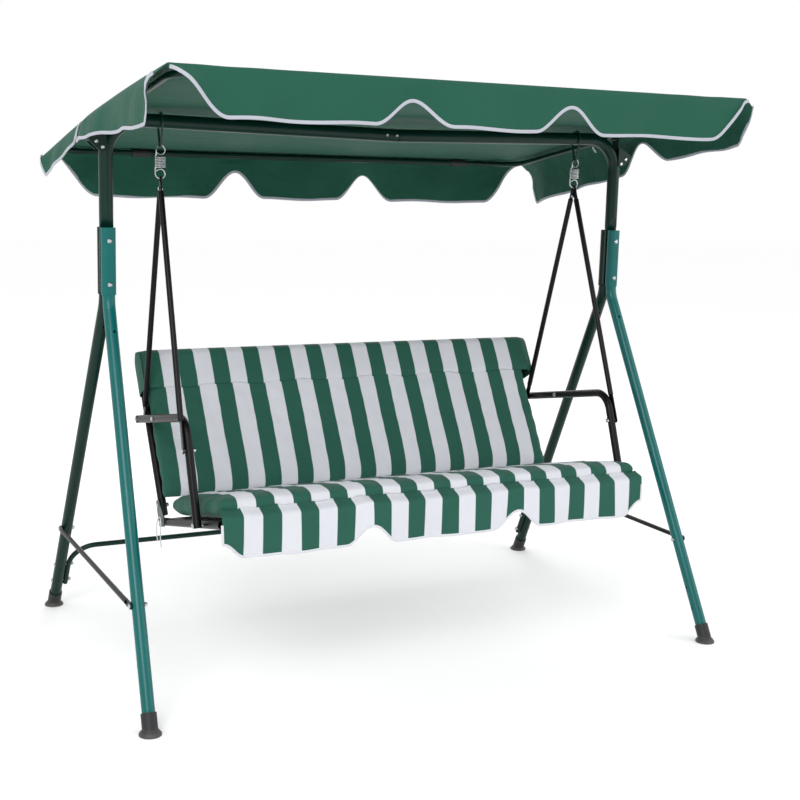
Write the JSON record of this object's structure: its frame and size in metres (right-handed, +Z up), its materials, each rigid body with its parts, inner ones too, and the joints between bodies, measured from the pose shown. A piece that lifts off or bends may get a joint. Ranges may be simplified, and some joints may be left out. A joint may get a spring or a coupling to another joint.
{
  "type": "canopy swing bench",
  "caption": "Free-standing garden swing bench: a cushioned, striped seat with a reclined back hangs on springs from an A-frame under a tilting scalloped canopy.",
  "frame": {"origin": "on the floor, midway between the four feet", "axes": "+X to the right of a person facing the seat, along its length; +Y from the front to the back; +Z up"},
  "size_m": [1.694, 1.14, 1.532],
  "materials": {
    "leg_paint": "satin green paint",
    "dark_paint": "satin dark green paint",
    "foot_plastic": "moulded plastic",
    "zinc": "bright zinc plate",
    "hook_paint": "dark green paint",
    "black_paint": "satin black paint",
    "canopy_cloth": "woven polyester, fine weave",
    "stripe_cloth": "woven, green and white stripes",
    "tie_cord": "flat white tape"
  },
  "bodies": {
    "frame": {"front_leg_left": "leg_paint", "front_leg_right": "leg_paint", "rear_leg_left": "dark_paint", "rear_leg_right": "dark_paint", "front_foot_left": "foot_plastic", "front_foot_right": "foot_plastic", "rear_foot_left": "foot_plastic", "rear_foot_right": "foot_plastic", "top_bar_left": "dark_paint", "top_bar_right": "dark_paint", "top_bar_screws": "zinc", "leg_bolts": "zinc", "rear_stretcher": "dark_paint", "stretcher_bolts": "zinc", "side_brace_left": "black_paint", "side_brace_right": "black_paint", "brace_bolts": "zinc", "canopy_bracket_left": "dark_paint", "canopy_bracket_right": "dark_paint", "bracket_bolts": "zinc"},
    "canopy": {"canopy_arm_left": "dark_paint", "canopy_arm_right": "dark_paint", "canopy_front_tube": "dark_paint", "canopy_rear_tube": "dark_paint", "canopy_tube_sleeves": "foot_plastic", "canopy_pivot_bolts": "zinc", "canopy_cover": "canopy_cloth"},
    "hooks": {"hook_left": "hook_paint", "hook_right": "hook_paint"},
    "springs": {"spring_left": "zinc", "spring_right": "zinc"},
    "seat": {"hanger_rivets": "zinc", "hanger_bolts": "zinc", "armrest_bolts": "zinc", "corner_bolts": "zinc", "corner_bracket_left": "hook_paint", "corner_bracket_right": "hook_paint", "front_hanger_left": "black_paint", "front_hanger_right": "black_paint", "rear_hanger_left": "black_paint", "rear_hanger_right": "black_paint", "armrest_left": "black_paint", "armrest_right": "black_paint", "seat_rail_left": "black_paint", "seat_rail_right": "black_paint", "seat_front_tube": "black_paint", "seat_rear_tube": "black_paint", "seat_cross_tubes": "black_paint", "back_side_left": "black_paint", "back_side_right": "black_paint", "back_top_tube": "black_paint", "seat_mesh": "black_paint", "back_mesh": "black_paint", "seat_cushion": "stripe_cloth", "back_cushion": "stripe_cloth", "seat_valance": "stripe_cloth", "cushion_tie_left": "tie_cord", "cushion_tie_right": "tie_cord"}
  },
  "joints": [
    {"name": "canopy_tilt", "type": "hinge", "parent": "frame", "child": "canopy", "pos_m": [0, 0, 1.431], "axis": [1, 0, 0], "range_deg": [-15, 15]},
    {"name": "hook_rock", "type": "hinge", "parent": "frame", "child": "hooks", "pos_m": [0, 0, 1.425], "axis": [1, 0, 0], "range_deg": [-8, 8]},
    {"name": "swing", "type": "hinge", "parent": "hooks", "child": "springs", "pos_m": [0, 0, 1.3657], "axis": [1, 0, 0], "range_deg": [-20, 20]},
    {"name": "spring_stretch", "type": "slide", "parent": "springs", "child": "seat", "axis": [0, 0, -1], "range_m": [0, 0.03], "stiffness_N_per_m": 60000, "springref_m": -0.00425, "deforming": ["spring_left", "spring_right"]}
  ]
}
